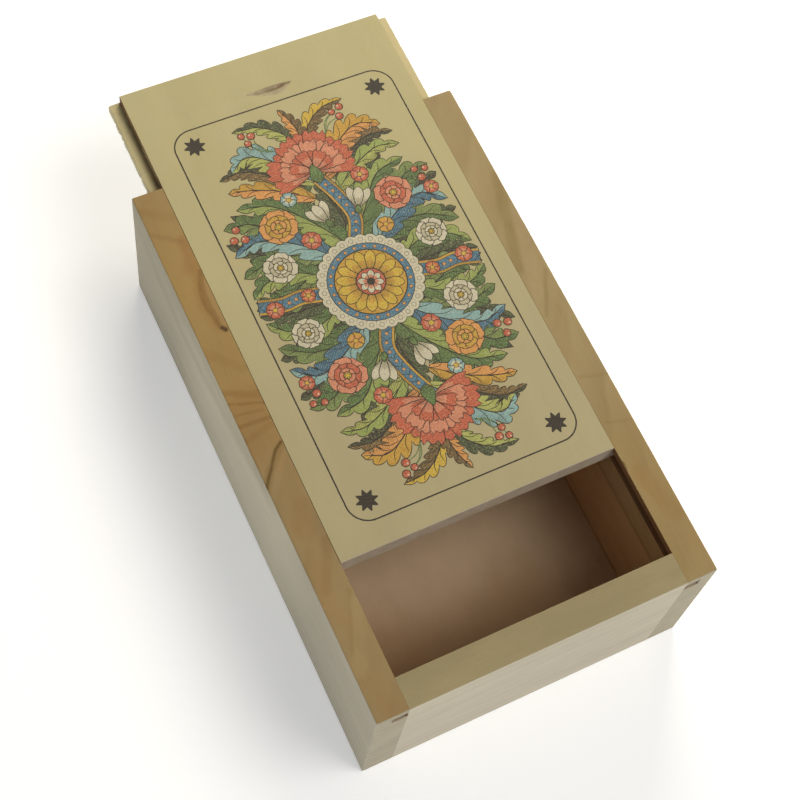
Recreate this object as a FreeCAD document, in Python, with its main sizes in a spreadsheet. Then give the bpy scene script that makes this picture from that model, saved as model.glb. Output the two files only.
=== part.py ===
import FreeCAD, Part
import math
import os
import re

import Sketcher

# A wooden box for a deck of cards, whose lid slides in a groove along each side wall.
# The origin is the middle of the box's underside. +X is the right-hand wall, +Y the back, where the
# lid slides out, and +Z is up. All sizes are in millimetres.

doc = FreeCAD.newDocument("card_box")

# The driving sizes: each is set here and nowhere else.
sizes = {
    # the box
    "box_width": 86.0,              # over both side walls
    "box_length": 140.5,            # front face to back face
    "box_height": 45.0,             # underside to the tops of the side and front walls
    "side_thickness": 7.9,
    "front_thickness": 7.8,
    "back_thickness": 7.8,
    "arris": 0.3,                   # the small bevel sanded along the walls' exposed edges
    # the bottom panel, let into a rebate that is cut round the underside of the glued walls
    "bottom_thickness": 3.0,
    "bottom_bearing": 4.0,          # how far the rebate reaches under each wall
    "bottom_corner_radius": 6.0,    # left in the rebate's corners by the cutter
    "bottom_clearance": 0.1,        # round the edge of the panel
    # the grooves in the side walls
    "groove_lip": 2.4,              # wood left above a groove
    "groove_gap": 3.1,              # height of a groove
    "groove_depth": 4.0,
    "back_clearance": 0.2,          # from the top of the back wall up to the lid
    # the lid: a raised field between the walls, and a thin tongue in each groove
    "field_clearance": 0.15,        # from the field to each side wall
    "field_proud": 0.1,             # how far the field stands above the walls
    "tongue_lift": 0.3,             # free height over a tongue in its groove
    "tongue_play": 0.95,            # from a tongue's edge to the bottom of its groove
    "lid_arris": 0.2,
    "lid_opening": 28.2,            # how far the lid stands open at rest
    # the thumb notch in the lid
    "notch_width": 12.9,
    "notch_depth": 1.2,
    "notch_ramp": 2.3,              # length of the slope behind the thumb, at the middle
    "notch_lean": 0.5,              # how far the notch's wall leans back, at the middle
    "notch_setback": 10.7,          # from the lid's back end to the notch's wall
}

# What follows from them.
formulas = {
    "inner_width": "box_width - 2 * side_thickness",
    "inner_front": "-box_length / 2 + front_thickness",
    "inner_back": "box_length / 2 - back_thickness",
    "rebate_side": "inner_width / 2 + bottom_bearing",
    "rebate_front": "inner_front - bottom_bearing",
    "rebate_back": "inner_back + bottom_bearing",
    "groove_side": "inner_width / 2 + groove_depth",
    "groove_floor": "box_height - groove_lip - groove_gap",
    "groove_roof": "box_height - groove_lip",
    "back_top": "groove_floor - back_clearance",
    "field_side": "inner_width / 2 - field_clearance",
    "field_top": "box_height + field_proud",
    "tongue_side": "groove_side - tongue_play",
    "tongue_top": "groove_roof - tongue_lift",
    "lid_length": "box_length - front_thickness",
    "lid_centre": "front_thickness / 2 + lid_opening",
    "notch_foot": "lid_length / 2 - notch_setback - notch_lean",
    "notch_radius": "(notch_width * notch_width / 4 + notch_depth * notch_depth) / (2 * notch_depth)",
    "notch_axis": "field_top - notch_depth + notch_radius",
}

sheet = doc.addObject("Spreadsheet::Sheet", "sizes")
cells = [(alias, str(value)) for alias, value in sizes.items()]
cells += [(alias, "=" + formula) for alias, formula in formulas.items()]
for row, (alias, content) in enumerate(cells, start=1):
    sheet.set(f"A{row}", alias)
    sheet.set(f"B{row}", content)
    sheet.setAlias(f"B{row}", alias)
doc.recompute()


def valueOf(formula):
    return float(sheet.evalExpression(formula))


def boundTo(formula):
    # The formula as another object's expression, with its names read from the sheet.
    return re.sub(r"[a-z_]+", lambda word: f"{sheet.Name}.{word.group()}", formula)


def isAt(value, formula):
    return abs(value - valueOf(formula)) < 0.001


def newBody(label):
    body = doc.addObject("PartDesign::Body", label)
    body.Label = label
    return body


def newSketch(body, name, plane):
    # A sketch on one of the body's own origin planes.
    sketch = body.newObject("Sketcher::SketchObject", f"{body.Label}_{name}")
    support = next(feature for feature in body.Origin.OriginFeatures if feature.Role == plane)
    sketch.AttachmentSupport = (support, [""])
    sketch.MapMode = "FlatFace"
    return sketch


def constrain(sketch, formula, kind, *places):
    # Adds a dimension that follows a formula.
    number = sketch.addConstraint(Sketcher.Constraint(kind, *places, valueOf(formula)))
    sketch.setExpression(f"Constraints[{number}]", boundTo(formula))


def drawLine(sketch, start, end, construction=False):
    # A line between two places, each a pair of formulas. Its start is dimensioned from the origin.
    ends = [FreeCAD.Vector(valueOf(across), valueOf(up), 0) for across, up in (start, end)]
    line = sketch.addGeometry(Part.LineSegment(*ends), construction)
    constrain(sketch, start[0], "DistanceX", -1, 1, line, 1)
    constrain(sketch, start[1], "DistanceY", -1, 1, line, 1)
    return line


def drawOutline(sketch, corners):
    # A closed outline of straight edges through corners that are pairs of formulas.
    followers = corners[1:] + corners[:1]
    lines = [drawLine(sketch, start, end) for start, end in zip(corners, followers)]
    for line, follower in zip(lines, lines[1:] + lines[:1]):
        sketch.addConstraint(Sketcher.Constraint("Coincident", line, 2, follower, 1))


def drawRectangle(sketch, left, low, right, high):
    drawOutline(sketch, [(left, low), (right, low), (right, high), (left, high)])


def drawRounded(sketch, left, low, right, high, radius):
    # A rectangle with rounded corners: four quarter circles, joined by tangent sides.
    size = valueOf(radius)
    edges = {"left": valueOf(left) + size, "right": valueOf(right) - size,
             "low": valueOf(low) + size, "high": valueOf(high) - size}
    middles = [("right", "high"), ("left", "high"), ("left", "low"), ("right", "low")]
    arcs = []
    for quarter, (across, up) in enumerate(middles):
        circle = Part.Circle(FreeCAD.Vector(edges[across], edges[up], 0), FreeCAD.Vector(0, 0, 1), size)
        turn = quarter * math.pi / 2
        arcs.append(Part.ArcOfCircle(circle, turn, turn + math.pi / 2))
    corners = [sketch.addGeometry(arc, False) for arc in arcs]
    followers = arcs[1:] + arcs[:1]
    sides = [sketch.addGeometry(Part.LineSegment(arc.EndPoint, follower.StartPoint), False)
             for arc, follower in zip(arcs, followers)]
    for corner, side, follower in zip(corners, sides, corners[1:] + corners[:1]):
        sketch.addConstraint(Sketcher.Constraint("Tangent", corner, 2, side, 1))
        sketch.addConstraint(Sketcher.Constraint("Tangent", side, 2, follower, 1))
    for corner in corners[1:]:
        sketch.addConstraint(Sketcher.Constraint("Equal", corners[0], corner))
    constrain(sketch, radius, "Radius", corners[0])
    top, west, bottom, east = sides
    for side, direction in zip(sides, ("Horizontal", "Vertical", "Horizontal", "Vertical")):
        sketch.addConstraint(Sketcher.Constraint(direction, side))
    constrain(sketch, high, "DistanceY", -1, 1, top, 1)
    constrain(sketch, left, "DistanceX", -1, 1, west, 1)
    constrain(sketch, low, "DistanceY", -1, 1, bottom, 1)
    constrain(sketch, right, "DistanceX", -1, 1, east, 1)


def addPad(body, sketch, length, centred=True):
    # A pad of the sketch, half to each side of its plane unless it isn't centred.
    pad = body.newObject("PartDesign::Pad", f"{sketch.Name}_pad")
    pad.Profile = sketch
    pad.Midplane = centred
    pad.setExpression("Length", boundTo(length))


def addThroughPocket(body, sketch):
    # A cut through everything, on both sides of the sketch's plane.
    pocket = body.newObject("PartDesign::Pocket", f"{sketch.Name}_pocket")
    pocket.Profile = sketch
    pocket.Type = "ThroughAll"
    pocket.Midplane = True


def addRebate(body):
    # The share of one wall in the rebate round the underside, cut upwards from the bottom.
    sketch = newSketch(body, "rebate", "XY_Plane")
    drawRounded(sketch, "-rebate_side", "rebate_front", "rebate_side", "rebate_back", "bottom_corner_radius")
    pocket = body.newObject("PartDesign::Pocket", f"{sketch.Name}_pocket")
    pocket.Profile = sketch
    pocket.Reversed = True
    pocket.setExpression("Length", boundTo("bottom_thickness"))


def addBevel(body, size, isExposed):
    # Bevels each straight edge whose middle is exposed.
    doc.recompute()
    solid = body.Tip
    names = [f"Edge{number}" for number, edge in enumerate(solid.Shape.Edges, start=1)
             if isinstance(edge.Curve, Part.Line) and isExposed(edge.CenterOfMass)]
    bevel = body.newObject("PartDesign::Chamfer", f"{body.Label}_bevel")
    bevel.Base = (solid, names)
    bevel.setExpression("Size", boundTo(size))


def makeSideWall(label, side):
    # A full-length board with the lid's groove along its inner face. Side is -1 left and 1 right.
    outer, inner, depth = f"{side} * box_width / 2", f"{side} * inner_width / 2", f"{side} * groove_side"
    body = newBody(label)
    board = newSketch(body, "board", "XZ_Plane")
    drawRectangle(board, outer, "0", inner, "box_height")
    addPad(body, board, "box_length")
    groove = newSketch(body, "groove", "XZ_Plane")
    drawRectangle(groove, inner, "groove_floor", depth, "groove_roof")
    addThroughPocket(body, groove)
    addRebate(body)
    addBevel(body, "arris", lambda middle: isAt(middle.x, outer) or isAt(middle.z, "box_height"))
    return body


def makeCrossWall(label, outer, inner, top):
    # A board between the side walls, at the front or the back.
    body = newBody(label)
    board = newSketch(body, "board", "YZ_Plane")
    drawRectangle(board, outer, "0", inner, top)
    addPad(body, board, "inner_width")
    addRebate(body)
    addBevel(body, "arris", lambda middle: isAt(middle.x, "0") and
             (isAt(middle.y, outer) or isAt(middle.z, top)))
    return body


def makeBottom():
    # A thin panel, flush with the underside and held against the shelf of the rebate.
    body = newBody("bottom_panel")
    outline = newSketch(body, "outline", "XY_Plane")
    side, radius = "rebate_side - bottom_clearance", "bottom_corner_radius - bottom_clearance"
    drawRounded(outline, f"-({side})", "rebate_front + bottom_clearance", side,
                "rebate_back - bottom_clearance", radius)
    addPad(body, outline, "bottom_thickness", centred=False)
    return body


def makeLid():
    # A board rebated along both sides. It is drawn about its own middle and placed where it stands open.
    body = newBody("sliding_lid")
    section = newSketch(body, "section", "XZ_Plane")
    drawOutline(section, [("-tongue_side", "groove_floor"), ("tongue_side", "groove_floor"),
                          ("tongue_side", "tongue_top"), ("field_side", "tongue_top"),
                          ("field_side", "field_top"), ("-field_side", "field_top"),
                          ("-field_side", "tongue_top"), ("-tongue_side", "tongue_top")])
    addPad(body, section, "lid_length")
    addNotch(body)
    addBevel(body, "lid_arris", lambda middle: isAt(middle.z, "field_top") and
             (isAt(abs(middle.x), "field_side") or isAt(abs(middle.y), "lid_length / 2")))
    body.setExpression("Placement.Base.y", boundTo("lid_centre"))
    return body


def addNotch(body):
    # A V-shaped cut turned about an axis above the lid, which leaves a hollow shaped like a lens.
    sketch = newSketch(body, "notch", "YZ_Plane")
    drawOutline(sketch, [("notch_foot", "field_top - notch_depth"), ("notch_foot + notch_lean", "field_top"),
                         ("notch_foot - notch_ramp", "field_top")])
    axis = drawLine(sketch, ("0", "notch_axis"), ("notch_foot", "notch_axis"), construction=True)
    constrain(sketch, "notch_foot", "DistanceX", -1, 1, axis, 2)
    sketch.addConstraint(Sketcher.Constraint("Horizontal", axis))
    notch = body.newObject("PartDesign::Groove", "notch")
    notch.Profile = sketch
    notch.ReferenceAxis = (sketch, ["Axis0"])
    notch.Angle = 360


bodies = [
    makeSideWall("left_side_wall", -1),
    makeSideWall("right_side_wall", 1),
    makeCrossWall("front_wall", "-box_length / 2", "inner_front", "box_height"),
    makeCrossWall("back_wall", "box_length / 2", "inner_back", "back_top"),
    makeBottom(),
    makeLid(),
]
doc.recompute()

for item in doc.Objects:
    if "Invalid" in item.State or "Error" in item.State:
        raise RuntimeError(f"{item.Label} didn't recompute: {item.State}")

for body in bodies:
    if body.Shape.isNull() or not body.Shape.isValid() or len(body.Shape.Solids) != 1:
        raise RuntimeError(f"{body.Label} isn't one valid solid")
    for feature in body.Group:
        base = getattr(feature, "BaseFeature", None)
        if base and feature.Shape.Volume > base.Shape.Volume - 0.01:
            raise RuntimeError(f"{feature.Label} cuts nothing")

os.makedirs("parts", exist_ok=True)
for body in bodies:
    body.Shape.exportStep(f"parts/{body.Label}.step")
    box = body.Shape.BoundBox
    print(f"{body.Label}: {body.Shape.Volume / 1000:.2f} cm3, x {box.XMin:.2f} to {box.XMax:.2f}, "
          f"y {box.YMin:.2f} to {box.YMax:.2f}, z {box.ZMin:.2f} to {box.ZMax:.2f}")
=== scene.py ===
import cmath
import math
import random

import bmesh
import bpy
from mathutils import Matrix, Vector, geometry, noise


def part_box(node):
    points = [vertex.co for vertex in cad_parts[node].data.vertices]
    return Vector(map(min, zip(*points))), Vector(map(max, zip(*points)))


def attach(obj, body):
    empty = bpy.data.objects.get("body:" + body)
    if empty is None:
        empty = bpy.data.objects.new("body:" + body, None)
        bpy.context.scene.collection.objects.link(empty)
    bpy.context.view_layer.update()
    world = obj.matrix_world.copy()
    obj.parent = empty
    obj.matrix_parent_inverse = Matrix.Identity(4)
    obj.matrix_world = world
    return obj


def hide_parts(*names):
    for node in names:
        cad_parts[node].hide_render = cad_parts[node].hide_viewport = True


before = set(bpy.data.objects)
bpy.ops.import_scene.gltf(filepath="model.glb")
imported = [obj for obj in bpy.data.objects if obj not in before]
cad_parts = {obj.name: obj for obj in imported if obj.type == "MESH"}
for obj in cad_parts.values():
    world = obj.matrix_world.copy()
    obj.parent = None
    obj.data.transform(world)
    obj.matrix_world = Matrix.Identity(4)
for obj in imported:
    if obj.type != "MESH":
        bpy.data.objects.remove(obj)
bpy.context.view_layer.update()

mm = 0.001


def hexColour(code):
    # An sRGB hex code as the linear colour that the shaders work in.
    parts = [int(code[place:place + 2], 16) / 255 for place in (1, 3, 5)]
    linear = [part / 12.92 if part <= 0.04045 else ((part + 0.055) / 1.055) ** 2.4 for part in parts]
    return (*linear, 1.0)


def fillInputs(tree, node, inputs):
    # Fills or links a node's inputs, given in order or by key. A node as a value gives its first live output.
    for key, value in inputs.items() if isinstance(inputs, dict) else enumerate(inputs):
        if isinstance(value, bpy.types.Node):
            value = next(output for output in value.outputs if output.enabled)
        if isinstance(value, bpy.types.NodeSocket):
            tree.links.new(value, node.inputs[key])
        else:
            node.inputs[key].default_value = value


def addNode(tree, kind, inputs=(), **settings):
    node = tree.nodes.new("ShaderNode" + kind)
    for key, value in settings.items():
        setattr(node, key, value)
    fillInputs(tree, node, inputs)
    return node


def newMaterial(name):
    # An empty material. The caller fills the inputs of its shader.
    material = bpy.data.materials.new(name)
    material.use_nodes = True
    tree = material.node_tree
    tree.nodes.clear()
    shader = addNode(tree, "BsdfPrincipled")
    addNode(tree, "OutputMaterial", {"Surface": shader})
    return material, tree, shader


def addObject(name, data):
    thing = bpy.data.objects.new(name, data)
    bpy.context.scene.collection.objects.link(thing)
    return thing


def addPiece(name, mesh, materials, body, node=None):
    # A piece that rides a body. One that dresses a solid gives its node.
    piece = addObject(name, mesh)
    for material in materials:
        mesh.materials.append(material)
    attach(piece, body)
    if node:
        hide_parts(node)
    return piece


def solidWood(name, look, **changes):
    # Wood as a solid: growth rings about a pith line, fibres along the grain and a soft figure, so that
    # faces, edges and end grain of a board all cut the same tree. Sizes in the look are mm.
    look = {**look, **changes}
    material, tree, shader = newMaterial(name)
    inMetres = addNode(tree, "TexCoord").outputs["Object"]
    inMm = addNode(tree, "VectorMath", {0: inMetres, "Scale": 1 / mm}, operation="SCALE")
    parts = addNode(tree, "SeparateXYZ", (inMm,)).outputs
    along, across, height = (parts[1], parts[0], parts[2]) if look["grain"] == "y" else parts
    place = addNode(tree, "CombineXYZ", (along, across, height))

    spots = {}
    for number, (key, (size, longer, wider, detail)) in enumerate({**spotSizes, **look["spots"]}.items()):
        scale = (1 / (size * longer), 1 / (size * wider), 1 / size)
        shift = (look["seed"] + number * 5.3, number * 8.1, look["seed"] * 2.3)   # so that no two agree
        where = addNode(tree, "VectorMath", (place, scale, shift), operation="MULTIPLY_ADD")
        spots[key] = addNode(tree, "TexNoise", {
            "Vector": where, "Scale": 1.0, "Detail": detail, "Roughness": 0.55}).outputs[0]
    spans = {   # some spots, their levels where an effect starts and ends, and the effect at each
        "bend": ("bend", 0.0, 1.0, -look["bend"] / 2, look["bend"] / 2),
        "fade": ("fade", 0.3, 0.7, 0.0, look["ringStrength"]),
        "clouds": ("clouds", 0.42, 0.68, 0.0, look["cloud"][1]),
        "figure": ("figure", 0.3, 0.7, 1 - look["figure"], 1 + look["figure"]),
        "fibre": ("fibre", 0.25, 0.75, 1 - look["fibre"], 1 + look["fibre"]),
        "pores": ("pores", look["poreLevel"], look["poreLevel"] + 0.02, 1.0, 1 - look["pore"]),
        "rough": ("fibre", 0.2, 0.8, look["roughness"] - 0.08, look["roughness"] + 0.08),
    }
    if look["marks"]:
        spans["waver"] = ("edge", 0.0, 1.0, -look["waver"], look["waver"])
        spans["patchy"] = ("patch", 0.3, 0.6, 0.65, 1.0)
    effects = {}
    for key, (pattern, low, high, start, end) in spans.items():
        effects[key] = addNode(tree, "MapRange", (spots[pattern], low, high, start, end))

    # growth rings: the distance from a bent pith line that the board runs out of, cut into rings that
    # darken slowly and end sharply
    lateStart, lateEnd = 0.1, 0.86
    pith = (0, -look["pith"][0], -look["pith"][1])
    sideways = addNode(tree, "VectorMath", (place, (0, 1, 1), pith), operation="MULTIPLY_ADD")
    distance = addNode(tree, "VectorMath", (sideways,), operation="LENGTH")
    radius = addNode(tree, "Math", (distance, effects["bend"]))
    radius = addNode(tree, "Math", (along, look["runOut"], radius), operation="MULTIPLY_ADD")
    rings = addNode(tree, "Math", (radius, look["ringWidth"]), operation="DIVIDE")
    ring = addNode(tree, "Math", (rings,), operation="FRACT")
    rise = addNode(tree, "MapRange", (ring, lateStart, lateEnd))
    fall = addNode(tree, "MapRange", (ring, lateEnd, 1.0, 1.0, 0.0))
    late = addNode(tree, "Math", (rise, fall), operation="MULTIPLY")
    late = addNode(tree, "Math", (late, effects["fade"]), operation="MULTIPLY")

    stains = [(late, look["late"]), (effects["clouds"], look["cloud"][0])]
    for middle, reach, share, code in look["zones"]:
        # a warmer, browner or paler stretch of the board, whose ends wander
        wander, heart = 8.0, 0.35 * reach
        drift = addNode(tree, "MapRange", {0: spots["bend"], 3: -wander - middle, 4: wander - middle})
        off = addNode(tree, "Math", (addNode(tree, "Math", (along, drift)),), operation="ABSOLUTE")
        near = addNode(tree, "MapRange", (off, heart, reach, share, 0.0),
                       interpolation_type="SMOOTHSTEP")
        stains.append((near, code))
    upright = look["marksOn"] == "face"
    if look["marks"]:
        plane = (1, 0, 1) if upright else (1, 1, 0)
        flat = addNode(tree, "VectorMath", (place, plane, effects["waver"]),
                       operation="MULTIPLY_ADD")
    for core, width, share, code, *path in look["marks"]:
        # a vein, streak or burn: a soft line along the board, on its top edge or on its faces
        places = [Vector((there, 0, side) if upright else (there, side, 0)) for there, side in path]
        nearest = None
        for start, end in zip(places, places[1:]):
            way = end - start
            away = addNode(tree, "VectorMath", (flat, start), operation="SUBTRACT")
            part = addNode(tree, "VectorMath", (away, way / way.length_squared),
                           operation="DOT_PRODUCT")
            part = addNode(tree, "MapRange", (part,))   # kept between the two ends
            off = addNode(tree, "VectorMath", (part, -way, away), operation="MULTIPLY_ADD")
            off = addNode(tree, "VectorMath", (off,), operation="LENGTH")
            nearest = addNode(tree, "Math", (nearest, off), operation="MINIMUM") if nearest else off
        near = addNode(tree, "MapRange", (nearest, core, width, share, 0.0),
                       interpolation_type="SMOOTHSTEP")
        stains.append((addNode(tree, "Math", (near, effects["patchy"]), operation="MULTIPLY"), code))
    colour = hexColour(look["early"])
    for share, code in stains:
        colour = addNode(tree, "Mix", {0: share, 6: colour, 7: hexColour(code)}, data_type="RGBA")

    # broad soft patches, fibres, and fine dark pores
    shade = effects["figure"]
    for other in ("fibre", "pores"):
        shade = addNode(tree, "Math", (shade, effects[other]), operation="MULTIPLY")
    colour = addNode(tree, "VectorMath", {0: colour, "Scale": shade}, operation="SCALE")
    relief = addNode(tree, "Math", (effects["pores"], 2.0, spots["fibre"]), operation="MULTIPLY_ADD")
    bump = addNode(tree, "Bump", {"Strength": look["bump"], "Distance": 0.05 * mm, "Height": relief})
    fillInputs(tree, shader, {"Base Color": colour, "Roughness": effects["rough"], "Normal": bump,
                              "IOR": 1.45, "Specular IOR Level": 0.3})
    return material


# Fibres and pores are drawn several times as wide as real ones, so that they show.
spotSizes = {   # mm high, times as long, times as wide, detail
    "bend": (16, 3, 1, 2), "fade": (9, 3, 1, 2), "figure": (8, 3, 1, 2), "edge": (3, 1, 1, 2),
    "patch": (3.5, 1.4, 1, 2), "clouds": (4.5, 2.2, 1, 4), "fibre": (0.33, 22, 1, 3),
    "pores": (0.22, 9, 1, 0),
}
# Zones are (middle, reach, share, colour) and marks (core, width, share, colour, points), where the points
# of a mark lie along and across the top edge, or along and up the face.
plainLook = {
    "grain": "y", "pith": (0.0, -200.0), "ringWidth": 4.0, "runOut": 0.0, "bend": 6.0, "ringStrength": 0.5,
    "figure": 0.05, "fibre": 0.04, "poreLevel": 0.74, "pore": 0.08, "roughness": 0.62, "bump": 0.3,
    "cloud": ("#B09468", 0.15), "zones": [], "marks": [], "marksOn": "edge", "waver": 0.35, "spots": {},
}
leftLook = {
    **plainLook, "seed": 2.0, "pith": (-10.0, 120.0), "ringWidth": 6.5, "runOut": 0.32, "bend": 9.0,
    "early": "#937E56", "late": "#806C46", "ringStrength": 0.6, "cloud": ("#9C7A4A", 0.4),
    "zones": [(36.0, 44.0, 0.6, "#9E8046"), (5.0, 13.0, 0.4, "#8A6531")],
    "marks": [   # an arch and a dark spot, streaks across the edge, an olive vein, and paler bands
        (0.3, 1.8, 0.4, "#86693C", (66, -42.8), (61.5, -36)),
        (0.2, 1.1, 0.35, "#7C5F36", (59, -42.8), (54.5, -36.4)),
        (0.6, 2.4, 0.4, "#8C6138", (55, -36), (49, -36.6), (47, -38)),
        (0.4, 2.0, 0.3, "#86693C", (25, -42.6), (20, -38), (18, -36)),
        (0.6, 3.2, 0.45, "#8A6530", (46, -35.4), (41, -37.0), (36, -37.4), (31, -36.6)),
        (0.6, 1.6, 0.45, "#A1865C", (42, -35.3), (31, -35.5)),
        (0.1, 1.0, 0.6, "#6E4F22", (45.6, -35.4), (44, -36.2), (41.4, -37.2), (38.3, -37.75), (35.6, -37.65),
         (32.5, -37.2), (30.1, -36.8)),
        (0.1, 0.6, 0.5, "#7A5A2C", (44.6, -35.4), (42.6, -36.1), (39.6, -36.7), (36, -36.8), (32.2, -36.3)),
        (0.15, 0.8, 1.0, "#43290F", (29.7, -36.5), (28.9, -35.9)),
        (0.2, 1.4, 0.4, "#7C5826", (14, -42.6), (11.4, -37), (10.6, -35)),
        (0.1, 0.6, 0.45, "#72501F", (11, -43), (8.6, -36), (8.2, -35)),
        (0.1, 0.7, 0.3, "#72501F", (7.9, -43), (6.7, -36.4)),
        (0.15, 0.9, 0.45, "#72501F", (4.8, -43), (4.3, -35)),
        (0.2, 1.5, 0.35, "#7C5826", (1.0, -42.4), (2.6, -36.2)),
        (0.1, 0.6, 1.0, "#403208", (-2.2, -35.6), (-3.5, -37.4), (-5.1, -38.6), (-7.4, -40.1), (-9.3, -41.6),
         (-11.8, -43.2)),
        (0.4, 1.5, 0.45, "#75592A", (-2.6, -35.6), (-7.6, -40.4), (-12.0, -43.2)),
        (0.8, 3.4, 0.35, "#85602F", (-18, -37.4), (-24, -39.5)),
        (0.3, 1.9, 0.35, "#856032", (-27.6, -35.4), (-38.6, -40.6)),
        (0.1, 0.9, 0.35, "#7A6038", (-40.6, -36), (-54, -41.2)),
        (0.6, 2.6, 0.5, "#A08B63", (-43.5, -35.6), (-58, -41.2)),
    ],
}
rightLook = {
    **plainLook, "seed": 7.0, "pith": (-30.0, 110.0), "ringWidth": 7.5, "runOut": -0.4, "bend": 8.0,
    "early": "#9C8A62", "late": "#8A774F", "ringStrength": 0.6, "cloud": ("#9C8258", 0.35),
    "zones": [(-50.0, 34.0, 0.5, "#907645")],
    "marks": [   # long slanting streaks, fine lines across the edge, and a reddish patch
        (0.6, 2.4, 0.55, "#806C3C", (42.5, 42.6), (17, 35.8)),
        (0.8, 2.6, 0.4, "#A99470", (33, 43.2), (9, 36.6)),
        (0.1, 0.9, 0.4, "#7D6740", (14, 41.6), (2.9, 36.3)),
        (0.4, 1.4, 0.35, "#8F7B50", (8, 43), (-1.5, 36.5)),
        (0.1, 0.8, 0.3, "#84683C", (-14.8, 36), (-16.5, 42.6)),
        (0.1, 0.7, 0.3, "#84683C", (-27.8, 36.4), (-29.4, 42.4)),
        (0.8, 3.4, 0.35, "#8F6A36", (-42, 38), (-54, 40.5)),
    ],
}
outsideLook = {   # planed: paler and greyer, partly as painted light on the outer faces; palest in the middle, with one long soft arch in the grain
    "early": "#A69E89", "late": "#989079", "figure": 0.03, "fibre": 0.06, "ringStrength": 0.65,
    "zones": [(4.0, 46.0, 0.55, "#C4BBA0")], "cloud": ("#948B6E", 0.1), "runOut": 0.03, "ringWidth": 4.4,
    "bend": 12.0, "marksOn": "face", "marks": [
        (0.6, 5.0, 0.3, "#857B60", (72, 36), (38, 30), (10, 35), (-8, 42)),
        (1.0, 9.0, 0.4, "#8C8468", (72, 41), (-10, 43)),
    ],
}
insideLook = {   # left raw: browner, pale by the groove, with a darker line below it and a painted contact shadow where the wall meets the floor
    "early": "#D0B086", "late": "#C8A87E", "figure": 0.03, "fibre": 0.03, "cloud": ("#BC9264", 0.3),
    "zones": [], "marksOn": "face", "marks": [
        (4.2, 6.0, 0.7, "#AB956A", (-66, 35.4), (66, 35.4)),
        (0.3, 1.3, 0.4, "#8A6C40", (-66, 30.6), (66, 30.6)),
        # painted shadow along the foot of the wall, in the corner where it meets the floor
        (0.3, 1.1, 0.5, "#8A5F38", (-66, 3.8), (66, 3.8)),
    ],
}
endGrainLook = {   # sawn across: the rings show as close grey lines
    "early": "#A0977F", "late": "#8E856C", "fibre": 0.03, "zones": [], "marks": [], "ringStrength": 0.75,
    "ringWidth": 3.1, "runOut": 0.0, "bend": 3.5, "pore": 0.2, "cloud": ("#A59D88", 0.15),
}
grooveShadeLook = {   # routed: painted shade, dark brown in the groove and on the lip above it, with painted light near its open ends
    "early": "#8E6644", "late": "#7E5838", "marks": [],
    # the zones are painted light where the open ends let light in
    "zones": [(end, 9.0, 1.0, "#B3A48E") for end in (-72, 72)],
}
endLook = {
    **plainLook, "grain": "x", "seed": 9.0, "pith": (-90.0, -60.0), "ringWidth": 5.0,
    "early": "#988C69", "late": "#8A7E5D", "cloud": ("#A39470", 0.3),
}
lidLook = {   # sanded: even and fine, with painted shade that makes it greyer towards the front
    **plainLook, "seed": 5.0, "pith": (10.0, -240.0), "ringWidth": 6.0, "spots": {"bend": (20, 6, 1, 2)},
    "early": "#B1A97F", "late": "#A89F72", "ringStrength": 0.4, "figure": 0.03, "fibre": 0.02, "pore": 0.05,
    # the zone is painted shade: the lid's top darker and greyer towards the front, where less light falls
    "roughness": 0.58, "bump": 0.25, "cloud": ("#B3A676", 0.35), "zones": [(-34.0, 90.0, 0.6, "#A69C7C")],
}
print("materials: wood")


def roundedLoop(corners, segments=3):
    # The outline of a section whose corners are (place, radius), each rounded with as many points.
    loop = []
    for index, (place, radius) in enumerate(corners):
        before = (corners[index - 1][0] - place).normalized()
        after = (corners[(index + 1) % len(corners)][0] - place).normalized()
        half = before.angle(after) / 2
        centre = place + (before + after).normalized() * radius / math.sin(half)
        start = place + before * radius / math.tan(half) - centre
        end = place + after * radius / math.tan(half) - centre
        turn = math.atan2(start.x * end.y - start.y * end.x, start.dot(end)) / segments
        for step in range(segments + 1):
            cosine, sine = math.cos(turn * step), math.sin(turn * step)
            way = Vector((start.x * cosine - start.y * sine, start.x * sine + start.y * cosine))
            loop.append(centre + way)
    return loop


def loftRings(name, rings):
    # A closed mesh through rings of points in metres, capped at both ends.
    shape = bmesh.new()
    loops = [[shape.verts.new(point) for point in ring] for ring in rings]
    for loop, following in zip(loops, loops[1:]):
        for index in range(len(loop)):
            other = (index + 1) % len(loop)
            shape.faces.new((loop[index], loop[other], following[other], following[index]))
    shape.faces.new(reversed(loops[0]))
    shape.faces.new(loops[-1])
    bmesh.ops.recalc_face_normals(shape, faces=shape.faces)
    mesh = bpy.data.meshes.new(name)
    shape.to_mesh(mesh)
    shape.free()
    return mesh


def sweepBoard(name, sectionAt, stations, toPlace):
    # A closed board: its section at each station in mm, and toPlace puts the section's points in the frame.
    rings = []
    for station in stations:
        loop = roundedLoop([(Vector(point), max(square, radius)) for point, radius in sectionAt(station)])
        rings.append([[value * mm for value in toPlace(point, station)] for point in loop])
    return loftRings(name, rings)


def stationsBetween(start, end, step, arris):
    # Even stations with closer ones where the ends are rounded over.
    count = max(2, round((end - start) / step))
    inner = [start + arris + (end - start - 2 * arris) * place / count for place in range(count + 1)]
    turn = [arris * (1 - math.cos(math.radians(angle))) for angle in (0, 20, 40, 60)]
    return [start + step for step in turn] + inner + [end - step for step in reversed(turn)]


def smoothBoard(piece):
    # Round arrises shade softly while the broad faces stay flat.
    for polygon in piece.data.polygons:
        polygon.use_smooth = True
    piece.data.set_sharp_from_angle(angle=math.radians(50))
    weighted = piece.modifiers.new("flatFaces", "WEIGHTED_NORMAL")
    weighted.keep_sharp = True


def endInset(station, start, end, radius):
    # How far a round corner lies in at a station near either end.
    distance = min(station - start, end - station)
    if distance >= radius:
        return 0.0
    return radius * (1 - math.sqrt(max(0.0, 1 - (1 - distance / radius) ** 2)))


def wobble(place, size, seed):
    return noise.noise(Vector((place / size, seed * 3.7, seed)))


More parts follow.
